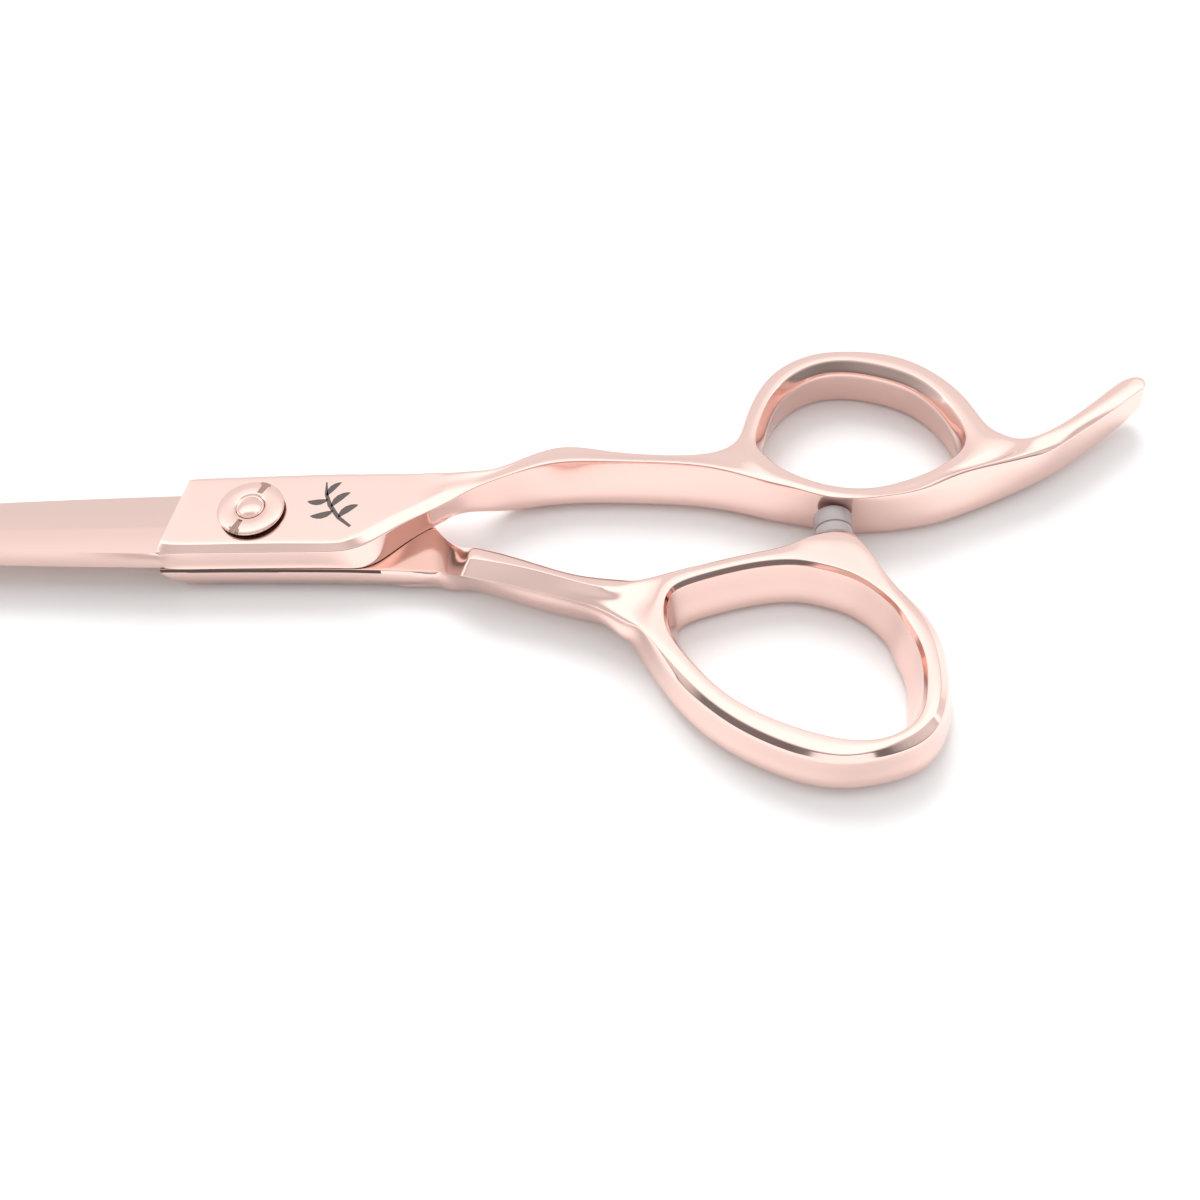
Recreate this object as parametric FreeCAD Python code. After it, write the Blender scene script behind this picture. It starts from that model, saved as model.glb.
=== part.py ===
"""Hair cutting shears with an offset finger ring, an integral tang and a tension dial.

The shears lie flat and closed: +X points from the pivot to the handles, +Z up through the dial,
+Y towards the finger ring.  The origin is on the pivot's axis, on the face the shears rest on.
The upper (still) half carries the finger ring, the lower (moving) half carries the thumb ring.
Millimetres throughout.
"""
import FreeCAD
import Part
import os

V = FreeCAD.Vector

# heights of the stack, from the rest plane up
Z_MID = 3.9              # the ride plane, where the two halves meet
Z_FACE = 7.2             # top face of the upper ricasso
RIDE_GAP = 0.05          # each half's ride face stays this far from the ride plane
HANDLE_DEPTH = Z_FACE    # the rings and shanks rise from the rest plane to the ricasso's face
RIM_ROUND = 1.0          # rounding of the rings' and shanks' rims

# blades
BLADE_ROOT_X = -10.0     # where the blades leave the ricassos
TIP_X = -70.0            # where the tips' rounding starts
ROOT_HALF_WIDTH = 5.15
TIP_HALF_WIDTH = 1.1
BLADE_DRIFT = 1.0        # the closed blades' centre line moves this far towards +Y at the tips
SPINE_HEIGHT = 2.8       # blade thickness over the ride plane at the root
TIP_HEIGHT = 1.5         # and at the tip
EDGE_HEIGHT = 0.15       # what is left of the bevel at the cutting edge
RIDGE_OFFSET = 1.1       # at the root, the bevel's ridge is this far from the centre line
RICASSO_BEVEL = 0.9      # width of the bevel along the ricasso's front edge

# pivot, from the axis outwards
JOURNAL_R = 1.9
RUNNING_CLEARANCE = 0.03
THREAD_R = 1.6
BUSH_R = 2.6
WASHER_R = 3.0
DIAL_R = 3.75
HUB_R = 2.9
BOLT_HEAD_R = 3.4
BOLT_HEAD_HEIGHT = 1.1
NECK_ACROSS_FLATS = 3.6
GLIDE_R = 4.2
COUNTERBORE_Z = 6.3      # floor of the counterbore in the upper ricasso
CLICK_WASHER_TOP = 6.6
WAVE_WASHER_TOP = 6.9
DIAL_UNDER = 7.6
DIAL_TOP = 8.1
DOME_HEIGHT = 0.25
SLOT_WIDTH = 0.9
SLOT_DEPTH = 0.3
SLOT_ANGLE = 68.0        # direction of the dial's two slots, degrees from +X

# bumper, on an axis along Y between the thumb ring and the finger shank
BUMPER_X = 64.0
BUMPER_Z = 4.0
BUMPER_R = 2.1
BUMPER_TOP_Y = -0.5
BUMPER_FOOT_Y = -3.9
BOSS_FOOT_Y = -8.0
STUD_R = 0.8
STUD_HEAD_R = 1.3

SEAM_X = 18.0            # where each handle is welded to its blade
STEP_X = 22.5            # where the handles grow from half to full depth


def spline(points, closed=False):
    """A smooth edge through points of the plan."""
    curve = Part.BSplineCurve()
    curve.interpolate([V(x, y, 0) for x, y in points], PeriodicFlag=closed)
    return curve.toShape()


def lines(points):
    """Straight edges through points of the plan."""
    return [Part.makeLine(V(*a, 0), V(*b, 0)) for a, b in zip(points, points[1:])]


def prism(edges, low, high):
    """The solid over a closed plan outline, between two heights."""
    face = Part.Face(Part.Wire(Part.__sortEdges__(edges)))
    face.translate(V(0, 0, low))
    return face.extrude(V(0, 0, high - low))


def disc(radius, low, high):
    """A round solid on the pivot's axis."""
    return Part.makeCylinder(radius, high - low, V(0, 0, low))


def ring(outer, inner, low, high):
    return disc(outer, low, high).cut(disc(inner, low - 1, high + 1))


def box(x0, x1, y0, y1, z0, z1):
    return Part.makeBox(x1 - x0, y1 - y0, z1 - z0, V(x0, y0, z0))


def flipped(shape):
    """The same shape for the other half: turned over about the X axis at the ride plane."""
    turned = shape.copy()
    turned.rotate(V(0, 0, Z_MID), V(1, 0, 0), 180)
    return turned


def blade_section(along, drift):
    """Cross-section of the closed upper blade, from 0 at the ricasso to 1 at the tip."""
    x = BLADE_ROOT_X + (TIP_X - BLADE_ROOT_X) * along
    taper = 0.4 * along + 0.6 * along ** 3
    half_width = ROOT_HALF_WIDTH - (ROOT_HALF_WIDTH - TIP_HALF_WIDTH) * taper
    if along == 1:
        x -= TIP_HALF_WIDTH
        half_width = TIP_HALF_WIDTH / 3
    centre = drift * along
    low = Z_MID + RIDE_GAP
    high = low + SPINE_HEIGHT + (TIP_HEIGHT - SPINE_HEIGHT) * along
    spine = centre - half_width
    edge = centre + half_width
    ridge = centre - RIDGE_OFFSET * half_width / ROOT_HALF_WIDTH
    corners = [V(x, spine, low), V(x, spine, high), V(x, ridge, high), V(x, edge, low + EDGE_HEIGHT),
               V(x, edge, low)]
    return Part.makePolygon(corners + corners[:1])


def blade_solid(drift):
    """The upper blade ahead of its ricasso, spine on -Y, bevelled down to its edge on +Y."""
    stations = (-0.08, 0.2, 0.4, 0.6, 0.8, 0.93, 1)
    return Part.makeLoft([blade_section(along, drift) for along in stations], True, False)


def ricasso_solid():
    """The upper ricasso, from the blade's root to the weld seam, with its front edge bevelled."""
    low = Z_MID + RIDE_GAP
    front = spline([(10.5, -5.6), (13.2, -5.0), (15.6, -3.2), (SEAM_X, -1.4)])
    rest = lines([(SEAM_X, -1.4), (SEAM_X, 5.9), (-7.6, 5.2), (-8.4, 4.6), (-9.8, -1.5), (-10.0, -5.15),
                  (10.5, -5.6)])
    solid = prism([front] + rest, low, Z_FACE)
    bevel = Part.Face(Part.makePolygon([V(-20, -9, Z_FACE - 2 * RICASSO_BEVEL), V(-20, -4.3, Z_FACE + 0.1),
                                        V(-20, -9, Z_FACE + 0.1), V(-20, -9, Z_FACE - 2 * RICASSO_BEVEL)]))
    return solid.cut(bevel.extrude(V(50, 0, 0)))


def half_blade(drift):
    """Blade and ricasso; drift moves the tip sideways from the X axis."""
    return blade_solid(drift).fuse(ricasso_solid()).removeSplitter()


def still_blade():
    solid = half_blade(BLADE_DRIFT)
    solid = solid.cut(disc(BUSH_R, 0, 20))
    return solid.cut(disc(WASHER_R + 0.1, COUNTERBORE_Z, 20))


def moving_blade():
    solid = flipped(half_blade(-BLADE_DRIFT))
    solid = solid.cut(square_neck(0, 20))
    solid = solid.cut(disc(JOURNAL_R, Z_MID - 0.4, 20))
    solid = solid.cut(disc(GLIDE_R, Z_MID - 0.4, 20))
    return solid.cut(disc(BOLT_HEAD_R, 0, BOLT_HEAD_HEIGHT))


def finger_handle():
    """Shank, finger ring and tang of the upper half."""
    back = spline([(SEAM_X, 5.9), (27, 6.8), (35, 9.5), (44, 7.8), (50, 7.9), (53.8, 11.6), (57.6, 19.1),
                   (66.4, 22.5), (75.4, 19.8), (81.0, 13.0), (85.5, 9.3), (92, 12.2), (98.0, 17.4)])
    tip = Part.Arc(V(98.0, 17.4, 0), V(99.7, 17.5, 0), V(99.8, 15.9, 0)).toShape()
    front = spline([(99.8, 15.9), (92.5, 8.6), (83, 2.7), (72, -0.3), (64, -0.4), (55, 1.3), (45, 3.8),
                    (34, 4.3), (25, 2.8), (SEAM_X, -1.4)])
    solid = rounded_band([back, tip, front] + lines([(SEAM_X, -1.4), (SEAM_X, 5.9)]))
    hole = spline([(56.0, 8.0), (58.9, 16.2), (67, 20.2), (75.5, 16.6), (79.0, 9.5), (75.3, 3.6),
                   (68, 1.2), (60.2, 3.1)], closed=True)
    solid = solid.cut(prism([hole], -1, 20))
    return solid.cut(box(SEAM_X - 1, STEP_X, -20, 20, -1, Z_MID + RIDE_GAP))


def thumb_handle():
    """Shank, thumb ring and bumper boss of the lower half."""
    back = spline([(SEAM_X, 1.4), (22.5, -2.6), (27, -4.6), (38, -8.4), (45, -9.2), (54, -7.0), (61, -5.6),
                   (66.5, -6.6), (71.0, -11.5), (74.6, -18.5), (74.7, -25.5), (70.8, -30.9), (63.6, -32.8),
                   (56, -31.2), (49.4, -26.3), (44.9, -19.8), (40.5, -14.4), (32, -10.4), (23.5, -7.2), (SEAM_X, -5.9)])
    solid = rounded_band([back] + lines([(SEAM_X, -5.9), (SEAM_X, 1.4)]))
    boss = Part.makeCone(BUMPER_R, 2.4 * BUMPER_R, BUMPER_FOOT_Y - BOSS_FOOT_Y,
                         V(BUMPER_X, BUMPER_FOOT_Y, BUMPER_Z), V(0, -1, 0))
    solid = solid.fuse(boss.common(box(50, 80, -20, 0, 0.2, HANDLE_DEPTH - 0.2)))
    hole = spline([(45.7, -14), (47.9, -10.4), (53.5, -8.7), (60, -8.4), (66.8, -11.2), (71.3, -18.0),
                   (71.0, -26), (65.5, -30), (57, -28.4), (49.3, -22.8)], closed=True)
    solid = solid.cut(prism([hole], -1, 20))
    solid = solid.cut(box(SEAM_X - 1, STEP_X + 2, -20, 20, Z_MID - RIDE_GAP, 20))
    stud_hole = Part.makeCylinder(STUD_R, BUMPER_FOOT_Y + 6.5, V(BUMPER_X, BUMPER_FOOT_Y, BUMPER_Z), V(0, -1, 0))
    return solid.cut(stud_hole)


def rounded_band(edges):
    """A handle's full-depth band with both rims of its outline rounded."""
    solid = prism(edges, 0, HANDLE_DEPTH)
    rims = [edge for edge in solid.Edges
            if edge.BoundBox.ZLength < 0.01 and edge.BoundBox.XLength > 1.5]
    return solid.makeFillet(RIM_ROUND, rims)


def square_neck(low, high):
    half = NECK_ACROSS_FLATS / 2
    return box(-half, half, -half, half, low, high).common(disc(half * 1.25, low, high))


def pivot_bolt():
    """Low head, square neck, round journal and a threaded end with a domed tip."""
    head = disc(BOLT_HEAD_R, 0, BOLT_HEAD_HEIGHT)
    head = head.makeFillet(0.35, [e for e in head.Edges if e.BoundBox.ZMax < 0.01])
    neck_top = Z_MID - 0.4
    solid = head.fuse(square_neck(BOLT_HEAD_HEIGHT, neck_top))
    solid = solid.fuse(disc(JOURNAL_R, neck_top, COUNTERBORE_Z))
    solid = solid.fuse(disc(THREAD_R, COUNTERBORE_Z, DIAL_TOP))
    rise = DOME_HEIGHT
    dome_r = (THREAD_R ** 2 + rise ** 2) / (2 * rise)
    ball = Part.makeSphere(dome_r, V(0, 0, DIAL_TOP + rise - dome_r))
    dome = ball.common(disc(THREAD_R, DIAL_TOP, DIAL_TOP + 1))
    return solid.fuse(dome).removeSplitter()


def pivot_bush():
    return ring(BUSH_R, JOURNAL_R + RUNNING_CLEARANCE, Z_MID + RIDE_GAP, COUNTERBORE_Z)


def glide_washer():
    return ring(GLIDE_R, JOURNAL_R, Z_MID - 0.4, Z_MID + 0.03)


def click_washer():
    """Flat washer with a crown of shallow notches that the wave washer's crests settle in."""
    solid = ring(WASHER_R, JOURNAL_R + 0.15, COUNTERBORE_Z, CLICK_WASHER_TOP)
    for step in range(16):
        notch = box(JOURNAL_R, WASHER_R + 1, -0.1, 0.1, CLICK_WASHER_TOP - 0.12, CLICK_WASHER_TOP + 1)
        notch.rotate(V(0, 0, 0), V(0, 0, 1), 360 / 16 * step)
        solid = solid.cut(notch)
    return solid


def wave_washer():
    """Thin spring ring with three crests, as a low band that is cut away between them."""
    solid = ring(WASHER_R - 0.05, JOURNAL_R + 0.15, CLICK_WASHER_TOP, WAVE_WASHER_TOP)
    for step in range(3):
        dip = Part.makeCylinder(2.0, 4, V(0, 0, WAVE_WASHER_TOP + 1.85), V(1, 0, 0))
        dip.rotate(V(0, 0, 0), V(0, 0, 1), 120 * step)
        solid = solid.cut(dip)
    return solid


def tension_dial():
    """Slotted disc nut with a hub that reaches into the counterbore."""
    solid = disc(DIAL_R, DIAL_UNDER, DIAL_TOP).fuse(disc(HUB_R, WAVE_WASHER_TOP + 0.02, DIAL_UNDER))
    solid = solid.cut(disc(THREAD_R + RUNNING_CLEARANCE, 0, 20)).removeSplitter()
    rim = [e for e in solid.Edges if e.BoundBox.ZMin > DIAL_TOP - 0.01 and e.BoundBox.XMax > DIAL_R - 0.1]
    solid = solid.makeFillet(0.15, rim)
    slot = box(THREAD_R + 0.35, DIAL_R + 1, -SLOT_WIDTH / 2, SLOT_WIDTH / 2, DIAL_TOP - SLOT_DEPTH, 20)
    for turn in (SLOT_ANGLE, SLOT_ANGLE + 180):
        cutter = slot.copy()
        cutter.rotate(V(0, 0, 0), V(0, 0, 1), turn)
        solid = solid.cut(cutter)
    return solid


def along_y(radius, high_y, low_y):
    """A round solid on the bumper's axis, from high_y down to low_y."""
    return Part.makeCylinder(radius, high_y - low_y, V(BUMPER_X, high_y, BUMPER_Z), V(0, -1, 0))


def bumper_pad():
    """Moulded pad with a groove round it, hollow for its stud."""
    solid = along_y(BUMPER_R, BUMPER_TOP_Y, BUMPER_FOOT_Y)
    crown = [e for e in solid.Edges if e.BoundBox.YMin > BUMPER_TOP_Y - 0.01]
    solid = solid.makeFillet(0.4, crown)
    groove_y = BUMPER_FOOT_Y + 1.05
    groove = along_y(BUMPER_R + 1, groove_y, groove_y - 0.25).cut(along_y(BUMPER_R - 0.3, 0, -9))
    solid = solid.cut(groove)
    solid = solid.cut(along_y(STUD_R, BUMPER_TOP_Y - 0.9, -9))
    return solid.cut(along_y(STUD_HEAD_R, BUMPER_TOP_Y - 0.9, BUMPER_TOP_Y - 1.5))


def bumper_stud():
    """Headed stud moulded into the pad and driven into the boss."""
    head = along_y(STUD_HEAD_R, BUMPER_TOP_Y - 0.9, BUMPER_TOP_Y - 1.5)
    return head.fuse(along_y(STUD_R, BUMPER_TOP_Y - 1.5, -6.5)).removeSplitter()


NODES = [still_blade, finger_handle, pivot_bush, click_washer, wave_washer,
         moving_blade, thumb_handle, pivot_bolt, glide_washer, bumper_pad, bumper_stud,
         tension_dial]

os.makedirs("parts", exist_ok=True)
for node in NODES:
    shape = node()
    solids = shape.Solids
    if len(solids) == 1:
        shape = solids[0]
    bounds = shape.BoundBox
    print(node.__name__, len(solids), shape.isValid(), round(shape.Volume, 2),
          [round(value, 2) for value in (bounds.XMin, bounds.XMax, bounds.YMin, bounds.YMax,
                                         bounds.ZMin, bounds.ZMax)])
    shape.exportStep("parts/" + node.__name__ + ".step")
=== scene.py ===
"""Looks of the hair cutting shears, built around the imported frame.

Each half of the shears is one continuous quad cage, drawn section by section in millimetres in the frame's
own axes, and smoothed by subdivision with creased edges.  The small turned parts are spun profiles.
"""

import math

import bmesh
import bpy
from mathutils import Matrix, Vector


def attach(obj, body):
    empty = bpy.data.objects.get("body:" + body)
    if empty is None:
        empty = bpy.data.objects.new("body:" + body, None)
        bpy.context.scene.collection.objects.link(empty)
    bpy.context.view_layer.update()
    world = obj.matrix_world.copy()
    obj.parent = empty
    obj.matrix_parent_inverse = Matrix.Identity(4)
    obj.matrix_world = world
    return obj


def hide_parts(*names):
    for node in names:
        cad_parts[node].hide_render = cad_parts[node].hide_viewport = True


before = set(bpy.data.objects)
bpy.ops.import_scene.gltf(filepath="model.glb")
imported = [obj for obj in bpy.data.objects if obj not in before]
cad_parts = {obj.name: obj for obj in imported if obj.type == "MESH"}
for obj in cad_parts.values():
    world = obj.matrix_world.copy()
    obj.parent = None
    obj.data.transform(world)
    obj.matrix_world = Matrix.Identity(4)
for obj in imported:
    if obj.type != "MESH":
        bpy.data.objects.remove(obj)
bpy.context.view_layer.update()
MM = 0.001

# ---------------------------------------------------------------- heights, in millimetres
FACE = 7.2            # top face of the upper ricasso
RIDE_UP = 3.95        # ride face of the upper half
RIDE_LOW = 3.85       # ride face of the lower half
TURN_OVER = RIDE_UP + RIDE_LOW
BEVEL_FOOT = 6.65     # lower edge of the ricasso's bevel

# blades, as the frame has them but for the ridge, which is 0.5 mm nearer the spine
BLADE_ROOT_X = -10.0
TIP_X = -70.0
ROOT_HALF_WIDTH = 5.15
TIP_HALF_WIDTH = 1.1
BLADE_DRIFT = 1.0     # how far each closed blade's tip lies towards +Y or -Y
SPINE_HEIGHT = 2.75
TIP_HEIGHT = 1.5
RIDGE_OFFSET = 1.6

# ---------------------------------------------------------------- cages
# A section is a loop of twelve points: three on top (t0 front, t2 back), three down the back wall (v1-v3),
# three underneath (u2 back, u0 front) and three up the front wall (w3-w1).
ROWS = ("t0", "t1", "t2", "v1", "v2", "v3", "u2", "u1", "u0", "w3", "w2", "w1")
OUTER_WALL = range(2, 6)


def at(plan, z):
    """The point of the plan at a height."""
    return Vector((plan[0], plan[1], z))


def between(a, b, part):
    """The point that lies part of the way from a to b."""
    return Vector(a).lerp(Vector(b), part)


class Cage:
    """A quad mesh made of twelve-point sections."""

    def __init__(self):
        self.points = []
        self.faces = []
        self.creases = {}

    def add(self, section):
        """Adds a section's points and returns their numbers."""
        first = len(self.points)
        self.points.extend(Vector(point) for point in section)
        return list(range(first, len(self.points)))

    def bridge(self, a, b, skip=()):
        """Quads between two sections."""
        for k in range(12):
            if k not in skip:
                m = (k + 1) % 12
                self.faces.append((a[k], a[m], b[m], b[k]))

    def chain(self, sections):
        """Adds sections one after the other, bridged."""
        loops = [self.add(section) for section in sections]
        for a, b in zip(loops, loops[1:]):
            self.bridge(a, b)
        return loops

    def cap(self, loop, bulge=(0, 0, 0)):
        """Closes a section with eight quads on three new points down its middle."""
        t0, t1, t2, v1, v2, v3, u2, u1, u0, w3, w2, w1 = loop
        middle = []
        for left, right in ((w1, v1), (w2, v2), (w3, v3)):
            middle.append(between(self.points[left], self.points[right], 0.5) + Vector(bulge))
        m1, m2, m3 = self.add(middle)
        self.faces += [(t0, t1, m1, w1), (t1, t2, v1, m1), (w1, m1, m2, w2), (m1, v1, v2, m2),
                       (w2, m2, m3, w3), (m2, v2, v3, m3), (w3, m3, u1, u0), (m3, v3, u2, u1)]

    def crease_row(self, loops, row, value):
        """Sharpens the line that one row makes through a run of sections."""
        k = ROWS.index(row)
        for a, b in zip(loops, loops[1:]):
            self.creases[frozenset((a[k], b[k]))] = value

    def crease_section(self, loop, value, rows=ROWS + ROWS[:1]):
        """Sharpens a section across the given neighbouring rows."""
        for name, following in zip(rows, rows[1:]):
            edge = frozenset((loop[ROWS.index(name)], loop[ROWS.index(following)]))
            self.creases[edge] = value

    def ring(self, sections, sockets):
        """A closed ring of sections whose outer wall is open between the columns of each socket."""
        loops = [self.add(section) for section in sections]
        count = len(loops)
        open_spans = set()
        for back, mid, front in sockets:
            open_spans |= {frozenset((back, mid)), frozenset((mid, front))}
        for j in range(count):
            following = (j + 1) % count
            skip = OUTER_WALL if frozenset((j, following)) in open_spans else ()
            self.bridge(loops[j], loops[following], skip)
        return loops

    def mesh_object(self, name, level):
        """The subdivided piece, its cage moved until the surface passes through the given points."""
        mesh = bpy.data.meshes.new(name)
        mesh.from_pydata([point * MM for point in self.points], [], self.faces)
        work = bmesh.new()
        work.from_mesh(mesh)
        bmesh.ops.recalc_face_normals(work, faces=work.faces)
        layer = work.edges.layers.float.get("crease_edge") or work.edges.layers.float.new("crease_edge")
        for edge in work.edges:
            edge[layer] = self.creases.get(frozenset(vert.index for vert in edge.verts), 0.0)
        work.to_mesh(mesh)
        work.free()
        piece = bpy.data.objects.new(name, mesh)
        bpy.context.scene.collection.objects.link(piece)
        smooth = piece.modifiers.new("smooth", "SUBSURF")
        smooth.use_limit_surface = True
        smooth.levels = smooth.render_levels = 1
        self.fit(piece)
        smooth.levels = smooth.render_levels = level
        return apply_modifiers(piece)

    def fit(self, piece, rounds=8):
        """Moves the cage's points until the smoothed surface passes through the wanted ones."""
        wanted = [point * MM for point in self.points]
        for _ in range(rounds):
            graph = bpy.context.evaluated_depsgraph_get()
            shown = piece.evaluated_get(graph).to_mesh()
            shifts = [wanted[i] - shown.vertices[i].co for i in range(len(wanted))]
            piece.evaluated_get(graph).to_mesh_clear()
            for vert, shift in zip(piece.data.vertices, shifts):
                vert.co += shift * 0.8
            piece.data.update()


def apply_modifiers(piece):
    """Replaces a piece's mesh by what its modifiers make of it."""
    graph = bpy.context.evaluated_depsgraph_get()
    mesh = bpy.data.meshes.new_from_object(piece.evaluated_get(graph))
    piece.modifiers.clear()
    piece.data = mesh
    return piece


def socket(loops, back, mid, front):
    """The open wall of a ring between three columns, as a section that a branch starts from."""
    a, b, c = loops[back], loops[mid], loops[front]
    return [c[2], b[2], a[2], a[3], a[4], a[5], a[6], b[6], c[6], c[5], c[4], c[3]]


def turned_over(section):
    """An upper-half section as the lower half has it: turned about the X axis."""
    flipped = [Vector((p.x, -p.y, TURN_OVER - p.z)) for p in section]
    t0, t1, t2, v1, v2, v3, u2, u1, u0, w3, w2, w1 = flipped
    return [u2, u1, u0, w3, w2, w1, t0, t1, t2, v1, v2, v3]


# ---------------------------------------------------------------- sections
def blade_section(along, drift, slant=0.19, inset=0.0):
    """Section of the upper blade, from 0 at the ricasso to 1 at the tip; slant leans its root, inset
    draws its edge back."""
    x = BLADE_ROOT_X + (TIP_X - BLADE_ROOT_X) * along
    taper = 0.4 * along + 0.6 * along ** 3
    half_width = ROOT_HALF_WIDTH - (ROOT_HALF_WIDTH - TIP_HALF_WIDTH) * taper
    if along == 1:
        x -= TIP_HALF_WIDTH
        half_width = TIP_HALF_WIDTH * 0.3
    near_root = max(0.0, 1 - 5 * along)
    low = RIDE_UP
    high = low + SPINE_HEIGHT + (TIP_HEIGHT - SPINE_HEIGHT) * along
    thin = 0.12

    def point(side, z):
        y = drift * along + side * half_width - inset * max(0.0, side)
        return Vector((x + near_root * slant * (y + ROOT_HALF_WIDTH), y, z))

    ridge = -RIDGE_OFFSET / ROOT_HALF_WIDTH
    drop = high - low - thin
    return [point((ridge - 1) / 2, high + 0.07), point(ridge, high), point(0.25, high - drop * 0.38),
            point(0.6, high - drop * 0.67), point(0.85, high - drop * 0.88), point(1, low + thin),
            point(1, low), point(0, low), point(-1, low), point(-1, low + 0.25 * (high - low)),
            point(-1, low + 0.65 * (high - low)), point(-1, high + 0.12)]


def ricasso_section(front, foot, crest, back, lean=0.0, flare=0.3):
    """Half-thickness section of the upper half: front is the wall's plan point, foot the bevel's lower
    edge (x, y, z), crest the face's front edge and back its rear edge; lean draws the rear wall's lower
    edge along X and flare draws it outwards.  That edge is chamfered; on the lower half the chamfer
    carries painted shade, which shows as a dark line between the halves."""
    foot = Vector(foot)
    low = RIDE_UP
    wall = at(back, 0.5 * (FACE + low)) + Vector((0.5 * lean, flare, 0))
    edge = wall + Vector((0.4 * lean, 0, 0))
    return [at(crest, FACE), between(at(crest, FACE), at(back, FACE), 0.5), at(back, FACE),
            at(back, FACE - 0.5) + Vector((0.1 * lean, 0.4 * flare, 0)), wall, at(edge, low + 0.45),
            at(edge, low) - Vector((0, 0.26, 0)), at(between(front, back, 0.5), low), at(front, low),
            at(front, low + 0.5), between(at(front, low + 0.5), foot, 0.5), foot]


def shank_section(front, crest, rim, back, foot=0.0, top=7.0, rim_z=6.6):
    """Full-depth section of the finger shank: a tall front wall under a sharp crest, a pale band behind the
    crest.  front is the wall's plan point near its foot."""
    depth = top - foot
    return [at(between(crest, rim, 0.25), top + 0.08),
            at(between(crest, rim, 0.65), 0.5 * (top + rim_z) + 0.05), at(rim, rim_z),
            at(between(rim, back, 0.75), rim_z - 0.18 * depth),
            at(back, foot + 0.5 * depth), at(between(back, front, 0.06), foot + 0.22 * depth),
            at(between(back, front, 0.28), foot + 0.03 * depth), at(between(back, front, 0.5), foot),
            at(between(front, back, 0.3), foot + 0.03 * depth),
            at(between(front, back, 0.02), foot + 0.18 * depth),
            at(between(front, crest, 0.4), foot + 0.55 * depth), at(crest, top)]


def tang_section(front, back, foot, top):
    """Rounded section of the tang, broad on top."""
    def across(part, z):
        return at(between(front, back, part), z)

    depth = top - foot
    return [across(0.3, top - 0.12), across(0.55, top), across(0.78, top - 0.3),
            across(0.97, top - 0.25 * depth), across(1, foot + 0.5 * depth), across(0.96, foot + 0.2 * depth),
            across(0.75, foot + 0.03 * depth), across(0.5, foot), across(0.25, foot + 0.03 * depth),
            across(0.03, foot + 0.2 * depth),
            across(0, foot + 0.5 * depth), across(0.08, top - 0.1 * depth)]


def ring_section(hole, outer, band, band_z=6.8, belly=0.3, lip=0.15, lip_z=6.0, bulge=0.0,
                 shoulder=(0.35, 5.3)):
    """Section of a ring: hole is its top inner edge, band the line where the top band ends, outer the
    outside near its foot; belly is how far the inner wall stands proud of the edge near its foot, lip how
    far it does so just under the edge, at the height lip_z, bulge how far the outer wall swells and
    shoulder where the outer wall begins: how far out, and how high."""
    inward = (Vector(hole) - Vector(outer)).normalized()
    inner = Vector(hole) + inward * belly
    upper = Vector(hole) + inward * lip
    swell = Vector((-inward[0], -inward[1], 0)) * bulge
    wall = 0.5 * (1 + shoulder[0])
    return [at(hole, 6.87), at(between(hole, band, 0.5), 6.92), at(band, band_z),
            at(between(band, outer, shoulder[0]), shoulder[1]) + swell * 0.7,
            at(between(band, outer, wall), 3.6) + swell, at(outer, 1.7) + swell * 0.3,
            at(between(outer, hole, 0.25), 0.35), at(between(outer, hole, 0.55), 0.0),
            at(between(inner, outer, 0.1), 0.35), at(inner, 1.6), at(between(inner, upper, 0.55), 3.6),
            at(upper, lip_z)]


def arch_section(hole, outer, crest):
    """Section of the finger ring where it carries the shank's crest on: the crest is sharp and outside."""
    section = ring_section(hole, outer, crest, lip=0.7, lip_z=5.4)
    section[1] = at(between(hole, crest, 0.35), 7.05)
    section[2] = at(between(hole, crest, 0.72), 7.1)
    section[3] = at(crest, 6.9)
    section[4] = at(between(crest, outer, 0.65), 4.2)
    return section


def thumb_shank_section(front, low_line, crest, back, low_z, crest_z, back_z):
    """Full-depth section of the thumb shank: a canted panel between two lines, a bevel behind it."""
    return [at(low_line, low_z), at(between(low_line, crest, 0.5), 0.5 * (low_z + crest_z)),
            at(crest, crest_z), at(back, back_z), at(back, 3.6), at(between(back, front, 0.08), 1.6),
            at(between(back, front, 0.28), 0.2), at(between(back, front, 0.5), 0.0),
            at(between(front, back, 0.42), 0.25), at(between(front, back, 0.2), 1.6), at(front, 3.6),
            at(between(front, low_line, 0.7), 5.1)]


def round_section(centre, radius, y):
    """A circle in the plane y, in the order in which a branch on +Y reads its section."""
    angles = [60 + 30 * k for k in range(12)]
    return [Vector((centre[0] + radius * math.cos(math.radians(a)), y,
                    centre[1] + radius * math.sin(math.radians(a)))) for a in angles]


# ---------------------------------------------------------------- upper half
# finger ring columns, clockwise from the shank: hole's edge, outside, and the crest where it is drawn
FINGER_RING = [((55.9, 8.8), (53.6, 9.4), (54.1, 9.2)), ((57.0, 13.1), (54.8, 13.8), (55.4, 13.6)),
               ((59.3, 17.3), (57.2, 18.9), (57.8, 18.4)), ((62.9, 19.9), (61.4, 22.1), (61.8, 21.5)),
               ((67.2, 20.4), (67.0, 22.9), (67.0, 22.3)), ((71.9, 19.0), (72.9, 22.0), (72.6, 21.2)),
               ((75.3, 16.7), (77.5, 18.8), (76.9, 18.2)), ((77.7, 13.3), (80.5, 14.5), (79.8, 14.2)),
               ((79.0, 9.6), (82.2, 10.4), (81.6, 10.2)), ((78.7, 6.9), (84.4, 8.7), (83.6, 8.3)),
               ((77.0, 4.9), (83.5, 5.5), (82.6, 5.4))]

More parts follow.
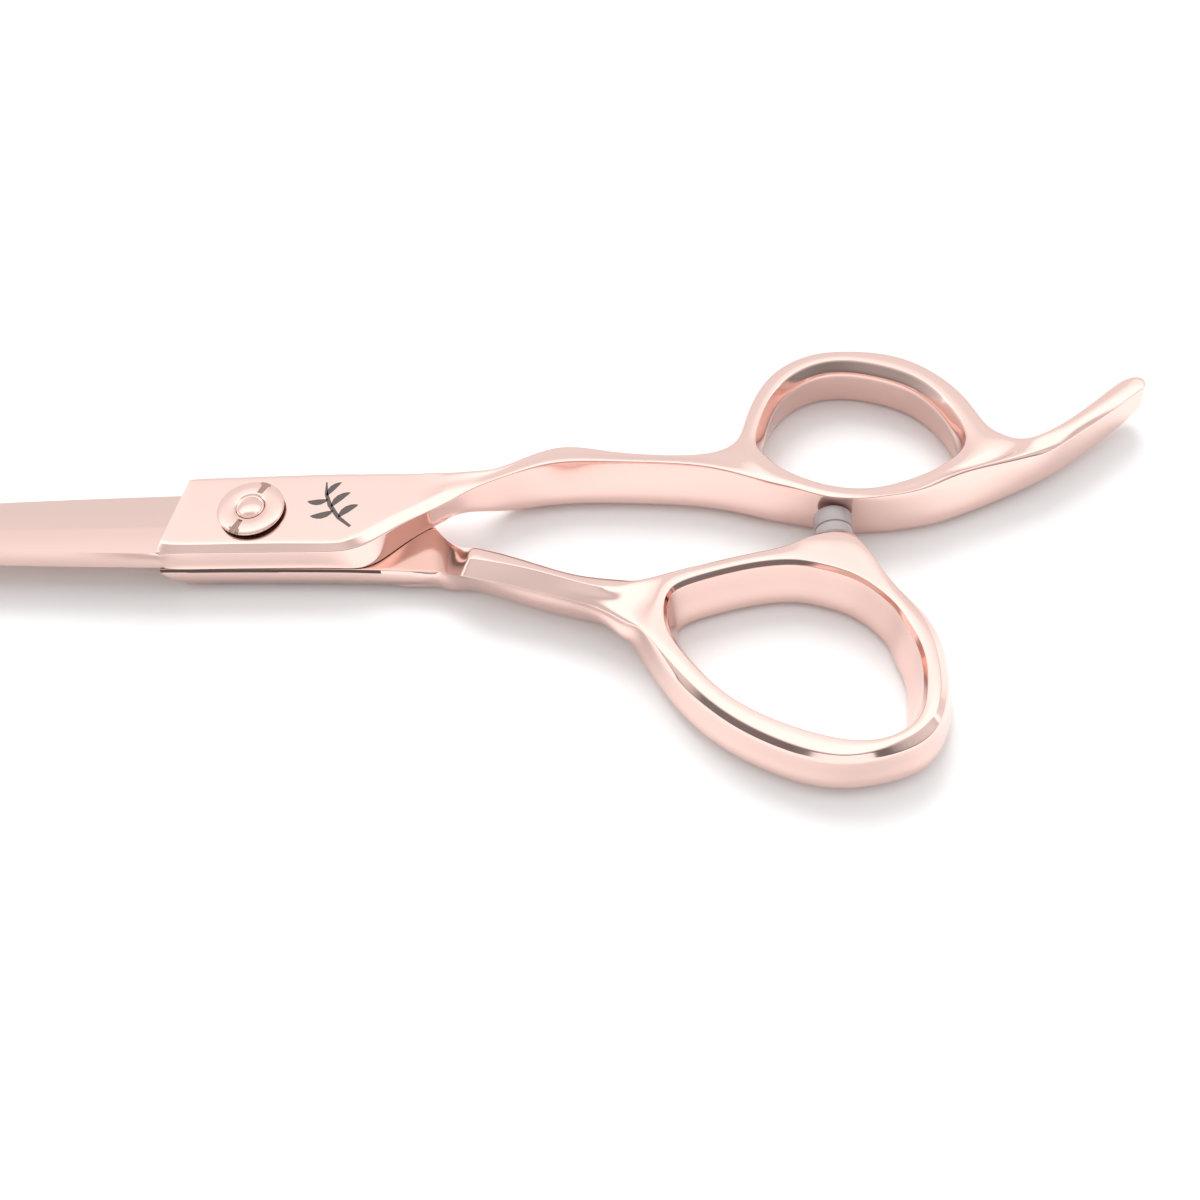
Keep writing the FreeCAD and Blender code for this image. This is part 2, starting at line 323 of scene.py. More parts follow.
# the lower arch, between tang and shank: hole's edge, outside near the foot, and crest
FINGER_ARCH = [((74.4, 3.2), (79.4, 2.0), (78.6, 2.9)), ((70.9, 1.8), (74.2, 0.3), (74.0, 0.8)),
               ((67.6, 1.2), (69.2, -0.2), (69.3, -0.2)), ((64.2, 1.6), (64.2, 0.1), (64.2, -0.1)),
               ((60.9, 2.9), (59.8, 1.1), (60.2, 1.3)), ((58.1, 4.8), (56.4, 1.9), (56.6, 2.6)),
               ((56.5, 6.8), (54.4, 5.0), (54.2, 5.2))]
FINGER_SHANK_SOCKET = (0, 17, 16)
TANG_SOCKET = (9, 10, 11)

# ricasso and the start of the shank: front wall, bevel foot, crest and rear edge of the face
RICASSO = [((-10.0, -5.2), (-9.9, -5.2, 6.6), (-9.7, -3.7), (-8.2, 4.5)),
           ((-8.2, -5.3), (-8.2, -5.25, BEVEL_FOOT), (-8.4, -4.2), (-7.4, 4.85)),
           ((-4.0, -5.35), (-4.0, -5.3, BEVEL_FOOT), (-4.0, -4.35), (-4.0, 4.9)),
           ((3.0, -5.45), (3.0, -5.4, BEVEL_FOOT), (3.0, -4.4), (3.0, 4.95)),
           ((9.0, -5.6), (9.0, -5.5, BEVEL_FOOT), (9.0, -4.6), (9.0, 4.95)),
           ((11.8, -5.7), (11.6, -5.2, BEVEL_FOOT), (11.2, -4.3), (10.8, 4.9)),
           ((14.1, -4.9), (13.9, -4.2, 6.75), (13.4, -3.0), (13.0, 4.85)),
           ((16.7, -2.6), (16.5, -2.4, 6.85), (16.0, -1.2), (15.5, 4.8)),
           ((19.3, -0.6), (19.4, -0.7, 6.9), (18.9, 0.5), (18.3, 4.75)),
           ((22.0, 1.2), (22.2, 1.0, 6.95), (21.8, 2.2), (21.2, 4.75))]

# full-depth shank: front wall near its foot, crest, rim behind the pale band, and back wall, then the
# heights of its foot, crest and rim where they aren't shank_section's own
FINGER_SHANK = [((25.2, 2.4), (25.0, 2.8), (24.6, 5.05), (24.5, 5.6), 2.2, 7.0, 7.08),
                ((28.8, 3.8), (28.6, 4.4), (28.0, 6.0), (27.8, 6.8), 0.5, 7.0, 6.85),
                ((33.4, 4.6), (33.4, 5.9), (33.6, 8.6), (33.6, 9.3)),
                ((39.0, 4.7), (39.4, 5.9), (39.8, 7.8), (40.2, 8.5)),
                ((45.6, 4.3), (46.2, 5.4), (46.6, 7.0), (46.9, 7.7)),
                ((51.4, 3.4), (51.7, 4.4), (51.0, 7.2), (50.9, 7.9))]

# tang: its front and back walls in plan, and the heights of its underside and top
TANG = [((86.0, 5.0), (86.3, 8.9), 0.2, 6.95),
        ((90.6, 7.8), (89.6, 10.7), 0.4, 6.9),
        ((95.4, 11.4), (93.5, 13.9), 0.7, 6.8),
        ((98.9, 14.4), (96.8, 16.8), 1.1, 6.6),
        ((100.1, 15.7), (98.4, 17.4), 1.6, 6.4)]

BLADE_STATIONS = (1, 0.93, 0.8, 0.6, 0.35, 0.12, 0)


def branch(cage, ring, columns, sections):
    """Grows sections out of a ring's open wall and returns all their loops, the wall's first."""
    loops = [socket(ring, *columns)] + [cage.add(section) for section in sections]
    for a, b in zip(loops, loops[1:]):
        cage.bridge(a, b)
    return loops


def build_finger_half():
    """The upper half's cage: blade, ricasso, shank, finger ring and tang."""
    cage = Cage()
    blade = cage.chain([blade_section(along, BLADE_DRIFT) for along in BLADE_STATIONS])
    cage.cap(blade[0])
    columns = [ring_section(*points, band_z=6.5, lip=0.84, lip_z=5.3, bulge=0.25) for points in FINGER_RING]
    columns += [arch_section(*points) for points in FINGER_ARCH]
    ring = cage.ring(columns, [FINGER_SHANK_SOCKET, TANG_SOCKET])
    shank = branch(cage, ring, FINGER_SHANK_SOCKET,
                   [shank_section(*points) for points in reversed(FINGER_SHANK)])
    ricasso = [cage.add(ricasso_section(*points)) for points in RICASSO]
    for a, b in zip([blade[-1]] + ricasso, ricasso + [shank[-1]]):
        cage.bridge(a, b)
    tang = branch(cage, ring, TANG_SOCKET, [tang_section(*points) for points in TANG])
    cage.cap(tang[-1], (0.5, 0.7, 0))
    cage.crease_row(tang[1:], "w1", 0.7)

    crease_blade(cage, blade, ricasso)
    # the shank's crest runs on along the arch, where it fades
    crest = [(loop, "w1") for loop in [ricasso[-1]] + shank[:0:-1]]
    crest += [(ring[j], "v1") for j in range(16, 10, -1)]
    for number, ((a, a_row), (b, b_row)) in enumerate(zip(crest, crest[1:])):
        fade = max(0.0, 0.9 - 0.15 * max(0, number - len(FINGER_SHANK)))
        cage.creases[frozenset((a[ROWS.index(a_row)], b[ROWS.index(b_row)]))] = fade
    cage.crease_row(ring + ring[:1], "t0", 0.8)
    cage.crease_row([ring[j] for j in range(0, 9)], "w1", 0.4)
    cage.crease_row([ring[j] for j in range(0, 5)], "t2", 0.35)
    return cage


def crease_blade(cage, blade, ricasso):
    """Sharp lines of a blade and its ricasso."""
    for row in ("w1", "t1", "u0", "u2", "v3"):
        cage.crease_row(blade, row, 1.0)
    for row in ("t0", "w1", "t2", "u0", "u2", "v3"):
        cage.crease_row(ricasso, row, 0.9)
    for row in ("u0", "u2", "v3"):
        cage.crease_row([blade[-1], ricasso[0]], row, 1.0)
    upper = ("w1", "t0", "t1", "t2", "v1", "v2", "v3")
    cage.crease_section(blade[-1], 1.0, upper)
    cage.crease_section(ricasso[0], 0.6, upper)


# ---------------------------------------------------------------- lower half
# thumb ring columns, clockwise from the shank's rear: hole's edge, outside, end of the top band
THUMB_RING = [((46.8, -11.1), (45.4, -9.0), (45.9, -9.8)), ((50.3, -9.6), (49.5, -7.7), (50.0, -8.5)),
              ((54.6, -8.5), (53.8, -6.6), (54.3, -7.4)), ((58.9, -8.1), (58.2, -5.6), (58.7, -6.3)),
              ((62.0, -8.7), (61.3, -4.7), (61.7, -5.0)), ((64.4, -9.6), (64.0, -4.9), (64.0, -4.9)),
              ((66.6, -11.0), (66.8, -5.9), (66.3, -5.9)), ((69.0, -13.6), (69.6, -10.6), (69.1, -11.2)),
              ((70.6, -16.6), (73.2, -15.2), (71.8, -15.8)), ((71.6, -20.2), (74.5, -20.0), (72.8, -20.2)),
              ((71.4, -24.4), (74.2, -24.8), (72.6, -24.6)), ((70.2, -27.6), (72.3, -29.0), (71.1, -28.0)),
              ((67.3, -29.5), (68.8, -31.2), (67.9, -30.2)), ((63.5, -29.8), (63.4, -32.2), (63.4, -31.4)),
              ((58.8, -28.5), (58.0, -31.2), (58.4, -30.3)), ((54.2, -26.2), (52.6, -28.4), (53.2, -27.5)),
              ((50.6, -23.3), (48.6, -25.0), (49.3, -24.1)), ((47.8, -19.8), (45.5, -20.9), (46.3, -20.4)),
              ((46.0, -16.5), (42.9, -16.4), (43.8, -16.4)), ((45.7, -13.5), (43.8, -12.9), (44.3, -12.9))]
THUMB_SHANK_SOCKET = (0, 19, 18)
BOSS_SOCKET = (4, 5, 6)

# lower ricasso before it is turned over: front wall, bevel foot, crest and rear edge of the face, then
# the first section's lean
LOWER_RICASSO = [((-10.0, -5.2), (-9.9, -5.2, 6.6), (-9.7, -3.7), (-8.5, 4.75), -2.3),
                 ((-7.0, -5.3), (-7.0, -5.25, BEVEL_FOOT), (-7.0, -4.2), (-7.0, 4.85)),
                 ((-2.0, -5.4), (-2.0, -5.35, BEVEL_FOOT), (-2.0, -4.3), (-2.0, 4.95)),
                 ((3.0, -5.45), (3.0, -5.4, BEVEL_FOOT), (3.0, -4.4), (3.0, 5.1)),
                 ((9.0, -5.6), (9.0, -5.5, BEVEL_FOOT), (9.0, -4.6), (9.0, 5.3)),
                 ((12.0, -5.5), (12.0, -5.0, 6.5), (11.4, -4.4), (12.0, 5.45)),
                 ((15.2, -3.6), (15.2, -3.0, 6.5), (14.6, -2.0), (15.2, 5.65)),
                 ((18.6, -1.0), (18.8, -0.4, 6.4), (18.4, 0.4), (18.6, 5.9))]

# the rise from the ride face to the shank's top: front edge, middle and rear edge on top, then the walls
RISE = [((20.6, -6.5, 3.9), (20.6, -4.8, 3.95), (20.6, -1.4, 3.95), (20.6, -6.75), (20.6, -1.1)),
        ((22.2, -7.25, 4.5), (22.4, -6.2, 4.7), (22.8, -4.7, 4.85), (22.2, -7.1), (23.1, -3.5))]

# full-depth thumb shank: front wall, the panel's lower line, its crest line, and the back wall, then the
# heights of the three lines
THUMB_SHANK = [((24.4, -7.9), (24.2, -8.5), (25.0, -7.0), (25.7, -5.1), 5.8, 6.95, 6.1),
               ((29.6, -9.9), (29.6, -10.0), (30.5, -8.3), (31.3, -7.1), 5.8, 6.95, 6.1),
               ((34.4, -11.5), (34.6, -11.6), (35.5, -10.0), (36.4, -9.0), 5.8, 6.95, 6.1),
               ((38.6, -13.0), (38.9, -13.1), (39.8, -11.3), (40.6, -9.7), 5.9, 6.95, 6.15),
               ((41.1, -15.2), (41.7, -14.9), (42.3, -11.2), (43.0, -10.1), 6.2, 6.95, 6.3)]
BUMPER_X = 64.0
BUMPER_Z = 4.0
BOSS_RADIUS = 2.15
BOSS_Y = -3.9


def rise_section(front_top, middle_top, back_top, front, back):
    """Section of the rise: three points on top, and the plan points of its front and back walls."""
    return [Vector(front_top), Vector(middle_top), Vector(back_top),
            at(back, back_top[2] - 0.5), at(back, 2.6), at(back, 1.4),
            at(between(back, front, 0.15), 0.45), at(between(back, front, 0.5), 0.4),
            at(between(front, back, 0.15), 0.45), at(between(front, back, 0.04), 1.4), at(front, 2.6),
            at(front, front_top[2] - 0.4)]


def build_thumb_half():
    """The lower half's cage: blade, ricasso, rise, shank, thumb ring and bumper boss."""
    cage = Cage()
    blade = cage.chain([turned_over(blade_section(along, -BLADE_DRIFT, slant=-0.11, inset=0.25))
                        for along in BLADE_STATIONS])
    cage.cap(blade[0])
    ring = cage.ring([ring_section(*points, belly=1.3, lip=0.4, lip_z=6.2, shoulder=(0.55, 5.9))
                      for points in THUMB_RING], [THUMB_SHANK_SOCKET, BOSS_SOCKET])
    shank = branch(cage, ring, THUMB_SHANK_SOCKET,
                   [thumb_shank_section(*points) for points in reversed(THUMB_SHANK)])
    ricasso = [cage.add(turned_over(ricasso_section(*points, flare=0.65))) for points in LOWER_RICASSO]
    rise = [cage.add(rise_section(*points)) for points in RISE]
    run = [blade[-1]] + ricasso + rise + [shank[-1]]
    for a, b in zip(run, run[1:]):
        cage.bridge(a, b)
    boss = branch(cage, ring, BOSS_SOCKET, [round_section((BUMPER_X, BUMPER_Z), BOSS_RADIUS, BOSS_Y)])
    cage.cap(boss[-1])

    # turned over, the rows of the half-thickness part have changed places
    for row in ("v3", "u1", "t2", "t0", "w1"):
        cage.crease_row(blade, row, 1.0)
    for row in ("u2", "v3", "t2", "t0", "w1"):
        cage.crease_row([blade[-1]] + ricasso, row, 0.9)
    cage.crease_section(ricasso[0], 0.7, ("t0", "w1", "w2", "w3", "u0", "u1", "u2"))
    cage.crease_row(ricasso, "u0", 0.7)
    cage.crease_row([ricasso[-1]] + rise + [shank[-1]], "t0", 0.8)
    cage.crease_row(shank[:1:-1], "t0", 0.7)
    cage.crease_row(shank[:1:-1], "t2", 0.7)
    cage.crease_section(shank[-1], 0.75, ("w1", "t0", "t1", "t2", "v1"))
    cage.crease_row(ring + ring[:1], "t0", 0.9)
    cage.crease_row([ring[j] for j in range(6, 19)], "t2", 0.8)
    cage.crease_row([ring[j] for j in range(0, 5)], "t2", 0.65)
    cage.crease_row([ring[j] for j in range(7, 18)], "v1", 0.5)
    cage.crease_row(ring + ring[:1], "w1", 0.75)
    cage.crease_section(boss[-1], 0.9)
    return cage


def add_half(build, name, body, nodes, bore):
    """Builds, bores and dresses one half of the shears."""
    piece = build().mesh_object(name, 4)
    cut(piece, spin("bore", bore))
    shade(piece, 50)
    dress(piece, rose_gold, body, nodes)
    return piece


# ---------------------------------------------------------------- materials
def finish_material(name, colour, metallic, roughness, spread=0.02, grain=900.0, bump=0.0):
    """A procedural finish: the roughness wanders by spread, and bump raises a fine grain."""
    material = bpy.data.materials.new(name)
    material.use_nodes = True
    nodes = material.node_tree.nodes
    links = material.node_tree.links
    shader = nodes["Principled BSDF"]
    shader.inputs["Base Color"].default_value = (*colour, 1)
    shader.inputs["Metallic"].default_value = metallic
    place = nodes.new("ShaderNodeTexCoord")
    noise = nodes.new("ShaderNodeTexNoise")
    noise.inputs["Scale"].default_value = grain
    reach = nodes.new("ShaderNodeMapRange")
    reach.inputs["To Min"].default_value = roughness - spread
    reach.inputs["To Max"].default_value = roughness + spread
    links.new(place.outputs["Object"], noise.inputs["Vector"])
    links.new(noise.outputs["Fac"], reach.inputs["Value"])
    links.new(reach.outputs["Result"], shader.inputs["Roughness"])
    if bump:
        relief = nodes.new("ShaderNodeBump")
        relief.inputs["Strength"].default_value = bump
        relief.inputs["Distance"].default_value = 0.00005
        links.new(noise.outputs["Fac"], relief.inputs["Height"])
        links.new(relief.outputs["Normal"], shader.inputs["Normal"])
    return material


rose_gold = finish_material("rose_gold", (0.90, 0.655, 0.595), 1.0, 0.10)
turned_rose_gold = finish_material("turned_rose_gold", (0.89, 0.64, 0.58), 1.0, 0.14)
spring_steel = finish_material("spring_steel", (0.55, 0.55, 0.57), 1.0, 0.32, 0.05, 1500.0, 0.2)
bush_bronze = finish_material("bush_bronze", (0.62, 0.42, 0.22), 1.0, 0.35, 0.05, 1200.0, 0.2)
glide_plastic = finish_material("glide_plastic", (0.80, 0.78, 0.74), 0.0, 0.5, 0.05, 1200.0, 0.2)
bumper_plastic = finish_material("bumper_plastic", (0.34, 0.30, 0.30), 0.0, 0.12, 0.03, 700.0)
# painted shade: the brown put on the walls of the dial's slots, where shade falls in them
painted_slot_shade = finish_material("painted_slot_shade", (0.36, 0.24, 0.20), 0.6, 0.3)
# painted shade: the near-black put on the dial's underside and on the lower half's front chamfer, where the
# parts shade each other
painted_shade = finish_material("painted_shade", (0.07, 0.045, 0.04), 0.2, 0.4)
# painted shade and painted interreflection: a deeper, darker rose on what shows of the lower half's ride face
# between the halves
painted_ride_face_shade = finish_material("painted_ride_face_shade", (0.78, 0.49, 0.42), 1.0, 0.14)
etched = finish_material("etched", (0.105, 0.088, 0.080), 0.3, 0.55, 0.08, 4000.0, 0.3)
floor_white = finish_material("floor_white", (0.90, 0.90, 0.90), 0.0, 0.9, 0.02, 60.0)


# ---------------------------------------------------------------- turned parts
def link_mesh(name, points, faces):
    """A closed piece from points in millimetres."""
    mesh = bpy.data.meshes.new(name)
    mesh.from_pydata([Vector(point) * MM for point in points], [], faces)
    work = bmesh.new()
    work.from_mesh(mesh)
    bmesh.ops.recalc_face_normals(work, faces=work.faces)
    work.to_mesh(mesh)
    work.free()
    piece = bpy.data.objects.new(name, mesh)
    bpy.context.scene.collection.objects.link(piece)
    return piece


def spin(name, profile, axis_point=(0.0, 0.0), along_y=False, steps=96):
    """A turned solid: profile is a closed outline of (radius, position along the axis).  The axis is Z
    through the point (x, y), or Y through the point (x, z)."""
    points = []
    for radius, position in profile:
        for step in range(steps):
            angle = 2 * math.pi * step / steps
            u = axis_point[0] + radius * math.cos(angle)
            v = axis_point[1] + radius * math.sin(angle)
            points.append((u, position, v) if along_y else (u, v, position))
    faces = []
    count = len(profile)
    for row in range(count):
        following = (row + 1) % count
        for step in range(steps):
            turn = (step + 1) % steps
            faces.append((row * steps + step, row * steps + turn,
                          following * steps + turn, following * steps + step))
    piece = link_mesh(name, points, faces)
    work = bmesh.new()
    work.from_mesh(piece.data)
    bmesh.ops.remove_doubles(work, verts=work.verts, dist=1e-7)
    bmesh.ops.recalc_face_normals(work, faces=work.faces)
    work.to_mesh(piece.data)
    work.free()
    return piece


def shade(piece, sharp_above=38):
    """Smooth shading, with the edges sharper than the angle left sharp."""
    work = bmesh.new()
    work.from_mesh(piece.data)
    for face in work.faces:
        face.smooth = True
    for edge in work.edges:
        edge.smooth = len(edge.link_faces) == 2 and edge.calc_face_angle(0.0) < math.radians(sharp_above)
    work.to_mesh(piece.data)
    work.free()


def cut(piece, cutter):
    """Takes the cutter's solid out of the piece."""
    boolean = piece.modifiers.new("cut", "BOOLEAN")
    boolean.operation = "DIFFERENCE"
    boolean.solver = "EXACT"
    boolean.object = cutter
    apply_modifiers(piece)
    bpy.data.objects.remove(cutter)


def dress(piece, material, body, nodes=()):
    """Gives a piece its material, slot and body, and the nodes it replaces."""
    piece.data.materials.clear()
    piece.data.materials.append(material)
    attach(piece, body)
    if nodes:
        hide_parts(*nodes)


DIAL = [(1.63, 6.95), (2.88, 6.95), (2.88, 7.5), (3.55, 7.5), (3.70, 7.58), (3.75, 7.7), (3.74, 7.84),
        (3.66, 7.94), (3.5, 8.0), (3.2, 8.04), (1.9, 8.11), (1.78, 8.08), (1.70, 8.0), (1.63, 7.96)]
DIAL_NECK_TOP = 7.56      # below this height the dial carries painted shade, dark as its shaded underside
DIAL_SLOT_ANGLE = 68      # direction of the dial's two slots, degrees from +X
SLOT_FLOOR = [(2.0, 0.10, 7.9), (4.2, 0.16, 7.78)]    # inner and outer end: distance out, half width, height
SLOT_MOUTH = [(2.0, 0.62, 8.4), (4.2, 0.95, 8.4)]
SLOT_START = 1.95         # a slot's walls lie farther out than this,
SLOT_REACH = 0.6          # nearer its middle line than this,
SLOT_SPAN = 7.75, 8.06    # and between these heights
BOLT = [(0.0, 0.02), (2.8, 0.02), (3.15, 0.1), (3.35, 0.28), (3.4, 0.5), (3.4, 1.1), (1.9, 1.1), (1.9, 6.25),
        (1.58, 6.4), (1.6, 7.9), (1.56, 8.04), (1.47, 8.1), (1.36, 8.08), (1.28, 8.02), (1.2, 8.06),
        (1.0, 8.18), (0.7, 8.28), (0.35, 8.33), (0.0, 8.35)]
BUMPER = [(0.8, -1.5), (1.3, -1.5), (1.3, -0.95), (0.0, -0.95), (0.0, -0.15), (1.55, -0.15), (1.85, -0.22),
          (2.03, -0.4), (2.1, -0.7), (2.1, -2.2), (2.06, -2.31), (1.93, -2.37), (1.93, -2.53), (2.06, -2.59),
          (2.13, -2.73), (2.14, -3.6), (2.1, -3.76), (1.98, -3.88), (0.8, -3.88)]

# what the pivot takes out of each half: bush seat and counterbore, bolt seat and washer seat
UPPER_BORE = [(0.0, 3.0), (2.6, 3.0), (2.6, 6.3), (3.1, 6.3), (3.1, 9.0), (0.0, 9.0)]
LOWER_BORE = [(0.0, -1.0), (3.42, -1.0), (3.42, 1.1), (2.3, 1.1), (2.3, 3.5), (4.2, 3.5), (4.2, 5.0),
              (0.0, 5.0)]

# where the lower half's painted shade lies: the ride face, and the chamfer on its front edge
RIDE_FACE_END = 23.2
RIDE_FACE_SPAN = 3.7, 4.5
RIDE_FACE_RISE = 0.8
CHAMFER_END = 14.5
CHAMFER_SIDE = -7.0, -4.9
CHAMFER_SPAN = 3.42, 3.84
CHAMFER_RISE = 0.2


def is_within(value, span):
    """Whether a value lies inside a span."""
    return span[0] < value < span[1]


def is_ride_face(place, normal):
    """Whether a face of the lower half is on what shows of its ride face, which gets painted shade."""
    return place.x < RIDE_FACE_END and is_within(place.z, RIDE_FACE_SPAN) and normal.z > RIDE_FACE_RISE


def is_chamfer(place, normal):
    """Whether a face of the lower half is on the chamfer along its front edge, which gets dark painted shade.
    """
    return (place.x < CHAMFER_END and is_within(place.y, CHAMFER_SIDE) and is_within(place.z, CHAMFER_SPAN)
            and normal.z > CHAMFER_RISE)


def is_in_slot(place):
    """Whether a point of the dial lies on a wall of one of its two slots."""
    direction = math.radians(DIAL_SLOT_ANGLE)
    along = abs(place.x * math.cos(direction) + place.y * math.sin(direction))
    aside = abs(place.y * math.cos(direction) - place.x * math.sin(direction))
    return SLOT_START < along and aside < SLOT_REACH and is_within(place.z, SLOT_SPAN)


def slot_cutter(degrees):
    """The solid that cuts one of the dial's slots."""
    c, s = math.cos(math.radians(degrees)), math.sin(math.radians(degrees))
    points = []
    for inner, outer in (SLOT_FLOOR, SLOT_MOUTH):
        for (out, half_width, z), side in ((inner, -1), (outer, -1), (outer, 1), (inner, 1)):
            points.append((c * out - s * side * half_width, s * out + c * side * half_width, z))
    faces = [(0, 1, 2, 3), (7, 6, 5, 4), (0, 4, 5, 1), (1, 5, 6, 2), (2, 6, 7, 3), (3, 7, 4, 0)]
    return link_mesh("slot", points, faces)


add_half(build_finger_half, "finger_half", "still_half", ["still_blade", "finger_handle"], UPPER_BORE)
thumb_half = add_half(build_thumb_half, "thumb_half", "moving_half", ["moving_blade", "thumb_handle"],
                      LOWER_BORE)

# what shows of the lower half's ride face gets painted shade deeper in colour than the rest, and its chamfer
# gets dark painted shade
thumb_half.data.materials.append(painted_ride_face_shade)
thumb_half.data.materials.append(painted_shade)
for polygon in thumb_half.data.polygons:
    if is_ride_face(polygon.center / MM, polygon.normal):
        polygon.material_index = 1
    elif is_chamfer(polygon.center / MM, polygon.normal):
        polygon.material_index = 2

# the generic sprig on the ricasso: its heights, the stem's (point, half width) pairs, and each leaf's
# root, tip and half width
MARK_SPAN = 7.19, 7.215
STEM = [((11.4, -2.5), 0.16), ((9.9, -1.2), 0.24), ((8.7, 0.6), 0.26), ((8.1, 2.2), 0.20), ((7.9, 3.9), 0.08)]
LEAVES = [((9.9, -1.2), (11.9, 0.5), 0.42), ((8.9, 0.3), (10.8, 2.3), 0.40), ((8.2, 1.9), (9.6, 3.8), 0.34),
          ((9.2, -0.2), (6.7, -0.9), 0.40), ((8.4, 1.4), (6.1, 1.2), 0.36)]


def ribbon(name, spine):
    """A thin inlay that follows (point, half width) pairs."""
    points = []
    for number, (place, half_width) in enumerate(spine):
        ahead = Vector(spine[min(number + 1, len(spine) - 1)][0])
        behind = Vector(spine[max(number - 1, 0)][0])
        along = (ahead - behind).normalized()
        side = Vector((-along.y, along.x)) * half_width
        for z in MARK_SPAN:
            points += [at(Vector(place) + side, z), at(Vector(place) - side, z)]
    faces = [(0, 1, 3, 2)]
    for number in range(len(spine) - 1):
        a = 4 * number
        b = a + 4
        faces += [(a, b, b + 1, a + 1), (a + 2, a + 3, b + 3, b + 2),
                  (a, a + 2, b + 2, b), (a + 1, b + 1, b + 3, a + 3)]
    last = 4 * (len(spine) - 1)
    faces.append((last, last + 2, last + 3, last + 1))
    return link_mesh(name, points, faces)


def leaf_spine(root, tip, half_width):
    """A bowed, pointed leaf from its root to its tip."""
    root, tip = Vector(root), Vector(tip)
    bow = Vector((root.y - tip.y, tip.x - root.x)) * 0.12
    return [(root.lerp(tip, part) + bow * 4 * part * (1 - part),
             0.04 + half_width * math.sin(math.pi * part) ** 0.8)
            for part in (0.0, 0.15, 0.35, 0.55, 0.75, 0.9, 1.0)]


strokes = [ribbon("mark_stem", STEM)]
strokes += [ribbon(f"mark_leaf_{number}", leaf_spine(*leaf)) for number, leaf in enumerate(LEAVES)]
for stroke in strokes:
    dress(stroke, etched, "still_half")

dial = spin("dial", DIAL)
for direction in (DIAL_SLOT_ANGLE, DIAL_SLOT_ANGLE + 180):
    cut(dial, slot_cutter(direction))
shade(dial)
dress(dial, turned_rose_gold, "dial", ["tension_dial"])
# painted shade: the walls of the dial's slots get brown, and its underside below DIAL_NECK_TOP gets
# near-black
dial.data.materials.append(painted_slot_shade)
dial.data.materials.append(painted_shade)
for polygon in dial.data.polygons:
    if is_in_slot(polygon.center / MM):
        polygon.material_index = 1
    elif polygon.center.z < DIAL_NECK_TOP * MM:
        polygon.material_index = 2

bolt = spin("bolt", BOLT)
shade(bolt)
dress(bolt, turned_rose_gold, "moving_half", ["pivot_bolt"])

bumper = spin("bumper", BUMPER, (BUMPER_X, BUMPER_Z), along_y=True)
shade(bumper)
dress(bumper, bumper_plastic, "moving_half", ["bumper_pad"])

# the pieces inside the pivot and the bumper keep their CAD shape
for node, material in (("pivot_bush", bush_bronze), ("click_washer", spring_steel),
                       ("wave_washer", spring_steel), ("glide_washer", glide_plastic),
                       ("bumper_stud", spring_steel)):
    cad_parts[node].data.materials.clear()
    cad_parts[node].data.materials.append(material)

# ---------------------------------------------------------------- floor, light and camera
CAMERA_LENS = 42.0
CAMERA_PLACE = (50.44, -96.46, 125.2)       # millimetres
CAMERA_TURN = (35.257, 4.366, 1.581)        # degrees
FLOOR_REACH = 2                             # metres from the pivot to the floor's edges
SUN_ENERGY = 2.0
SUN_ANGLE = 40
SUN_TURN = (-42, -12, 0)

camera_data = bpy.data.cameras.new("camera")
camera_data.sensor_width = 36.0
camera_data.lens = CAMERA_LENS
camera_data.clip_start = 0.01
camera = bpy.data.objects.new("camera", camera_data)
camera.location = Vector(CAMERA_PLACE) * MM
camera.rotation_euler = [math.radians(angle) for angle in CAMERA_TURN]
bpy.context.scene.collection.objects.link(camera)
bpy.context.scene.camera = camera

mesh = bpy.data.meshes.new("floor")
mesh.from_pydata([(x * FLOOR_REACH, y * FLOOR_REACH, 0) for x, y in ((-1, -1), (1, -1), (1, 1), (-1, 1))],
                 [], [(0, 1, 2, 3)])
floor = bpy.data.objects.new("floor", mesh)
bpy.context.scene.collection.objects.link(floor)
floor.data.materials.append(floor_white)

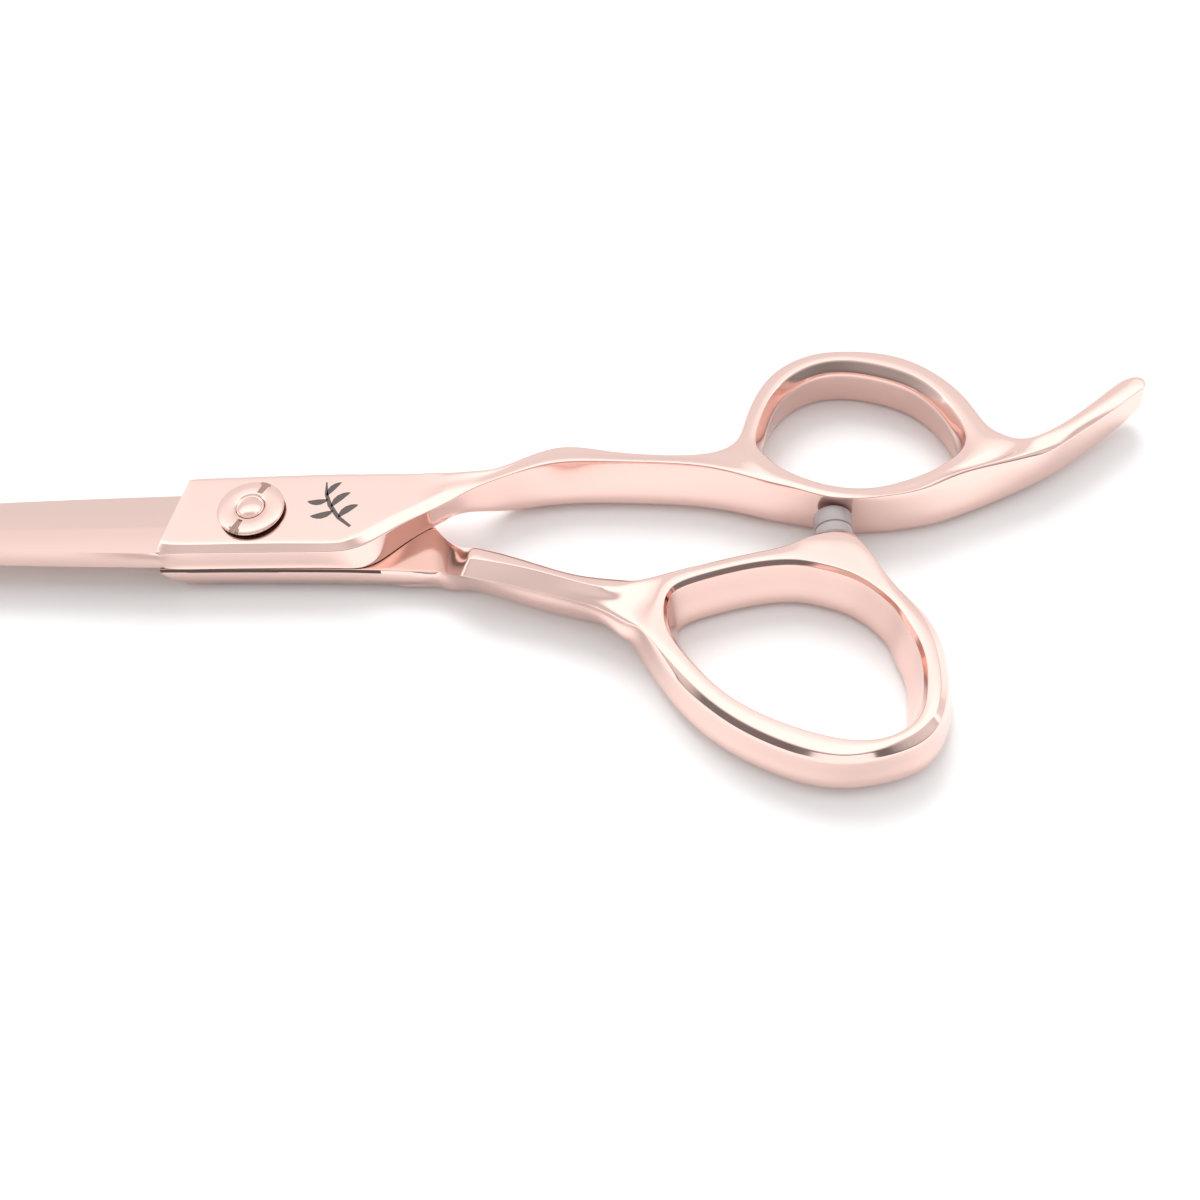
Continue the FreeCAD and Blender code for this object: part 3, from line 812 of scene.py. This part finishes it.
# The studio is a band of greys round the shears, by the angle at which a direction rises from the
# front horizon: 0 is level in front of the camera's side, 90 overhead, 180 level behind.
STUDIO = [(0, 0.16), (10, 0.21), (15, 0.42), (24, 0.66), (44, 0.88), (60, 0.84), (74, 0.70), (80, 0.78),
          (90, 1.55), (118, 1.50), (124, 1.32), (129, 1.20), (134, 0.98), (156, 0.95), (180, 0.85)]
RAMP_TOP = 2.0      # the ramp's values are divided by this and the background's strength makes up for it


def build_world():
    """Lights the scene with the studio's band of greys."""
    world = bpy.data.worlds.new("world")
    bpy.context.scene.world = world
    world.use_nodes = True
    nodes = world.node_tree.nodes
    links = world.node_tree.links
    direction = nodes.new("ShaderNodeTexCoord")
    split = nodes.new("ShaderNodeSeparateXYZ")
    forward = nodes.new("ShaderNodeMath")
    forward.operation = "MULTIPLY"
    forward.inputs[1].default_value = -1.0
    angle = nodes.new("ShaderNodeMath")
    angle.operation = "ARCTAN2"
    part = nodes.new("ShaderNodeMath")
    part.operation = "DIVIDE"
    part.inputs[1].default_value = math.pi
    ramp = nodes.new("ShaderNodeValToRGB")
    links.new(direction.outputs["Generated"], split.inputs[0])
    links.new(split.outputs["Y"], forward.inputs[0])
    links.new(split.outputs["Z"], angle.inputs[0])
    links.new(forward.outputs[0], angle.inputs[1])
    links.new(angle.outputs[0], part.inputs[0])
    links.new(part.outputs[0], ramp.inputs[0])
    stops = ramp.color_ramp.elements
    while len(stops) < len(STUDIO):
        stops.new(1.0)
    for stop, (degrees, brightness) in zip(stops, STUDIO):
        stop.position = degrees / 180
        value = brightness / RAMP_TOP
        stop.color = (value, value, value, 1)
    background = nodes["Background"]
    background.inputs["Strength"].default_value = RAMP_TOP
    links.new(ramp.outputs[0], background.inputs[0])


build_world()

key_data = bpy.data.lights.new("key", "SUN")
key_data.energy = SUN_ENERGY
key_data.angle = math.radians(SUN_ANGLE)
key = bpy.data.objects.new("key", key_data)
key.rotation_euler = [math.radians(angle) for angle in SUN_TURN]
key.visible_glossy = False
bpy.context.scene.collection.objects.link(key)

bpy.context.scene.view_settings.view_transform = "Standard"
